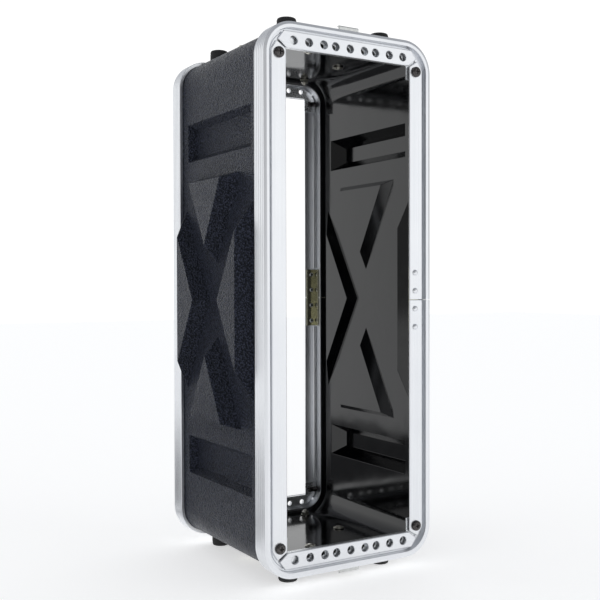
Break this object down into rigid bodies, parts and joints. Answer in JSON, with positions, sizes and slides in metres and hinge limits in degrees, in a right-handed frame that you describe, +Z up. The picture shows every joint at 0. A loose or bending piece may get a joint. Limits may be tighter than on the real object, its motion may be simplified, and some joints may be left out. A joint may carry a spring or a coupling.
{
  "type": "equipment rack case",
  "caption": "Shallow three-unit 19-inch rack case, moulded body between aluminium rings, open front and rear, standing on its end, with folding end handles.",
  "frame": {"origin": "on the floor under the middle of the case, which stands on the feet of one end", "axes": "+X across the stacked rack units towards the face with the stacking blocks, -Y out of the front opening, +Z up along the 19-inch width"},
  "size_m": [0.2068, 0.2042, 0.5186],
  "materials": {
    "abs": "black, leather-grained outside and smooth glossy inside",
    "aluminium": "satin anodised, fluted round the outside",
    "zinc": "zinc plated",
    "black_steel": "black oxide",
    "rubber": "matt black"
  },
  "bodies": {
    "case": {"abs_shell": "abs", "front_ring": "aluminium", "joint_plate_front": "zinc", "joint_rivet_front_1": "aluminium", "joint_rivet_front_2": "aluminium", "joint_rivet_front_3": "aluminium", "joint_rivet_front_4": "aluminium", "rack_strip_front_top": "zinc", "keeper_front_top": "zinc", "corner_screw_front_top_left": "black_steel", "corner_screw_front_top_right": "black_steel", "rack_strip_front_bottom": "zinc", "keeper_front_bottom": "zinc", "corner_screw_front_bottom_left": "black_steel", "corner_screw_front_bottom_right": "black_steel", "rear_ring": "aluminium", "joint_plate_rear": "zinc", "joint_rivet_rear_1": "aluminium", "joint_rivet_rear_2": "aluminium", "joint_rivet_rear_3": "aluminium", "joint_rivet_rear_4": "aluminium", "rack_strip_rear_top": "zinc", "keeper_rear_top": "zinc", "corner_screw_rear_top_left": "black_steel", "corner_screw_rear_top_right": "black_steel", "rack_strip_rear_bottom": "zinc", "keeper_rear_bottom": "zinc", "corner_screw_rear_bottom_left": "black_steel", "corner_screw_rear_bottom_right": "black_steel", "foot_top_front_left": "rubber", "foot_screw_top_front_left": "zinc", "foot_top_front_right": "rubber", "foot_screw_top_front_right": "zinc", "foot_top_rear_left": "rubber", "foot_screw_top_rear_left": "zinc", "foot_top_rear_right": "rubber", "foot_screw_top_rear_right": "zinc", "handle_saddle_top_left": "zinc", "handle_bolt_top_left": "zinc", "handle_saddle_top_right": "zinc", "handle_bolt_top_right": "zinc", "handle_rest_top": "rubber", "foot_bottom_front_left": "rubber", "foot_screw_bottom_front_left": "zinc", "foot_bottom_front_right": "rubber", "foot_screw_bottom_front_right": "zinc", "foot_bottom_rear_left": "rubber", "foot_screw_bottom_rear_left": "zinc", "foot_bottom_rear_right": "rubber", "foot_screw_bottom_rear_right": "zinc", "handle_saddle_bottom_left": "zinc", "handle_bolt_bottom_left": "zinc", "handle_saddle_bottom_right": "zinc", "handle_bolt_bottom_right": "zinc", "handle_rest_bottom": "rubber"},
    "handle_top": {"handle_rod_top": "zinc", "handle_grip_top": "rubber"},
    "handle_bottom": {"handle_rod_bottom": "zinc", "handle_grip_bottom": "rubber"}
  },
  "joints": [
    {"name": "handle_top_hinge", "type": "hinge", "parent": "case", "child": "handle_top", "pos_m": [0, 0.0125, 0.5077], "axis": [-1, 0, 0], "range_deg": [0, 90], "stiffness_Nm_per_rad": 0.03, "springref_deg": -57.3},
    {"name": "handle_bottom_hinge", "type": "hinge", "parent": "case", "child": "handle_bottom", "pos_m": [0, 0.0125, 0.0109], "axis": [1, 0, 0], "range_deg": [0, 90], "stiffness_Nm_per_rad": 0.03, "springref_deg": -57.3}
  ]
}
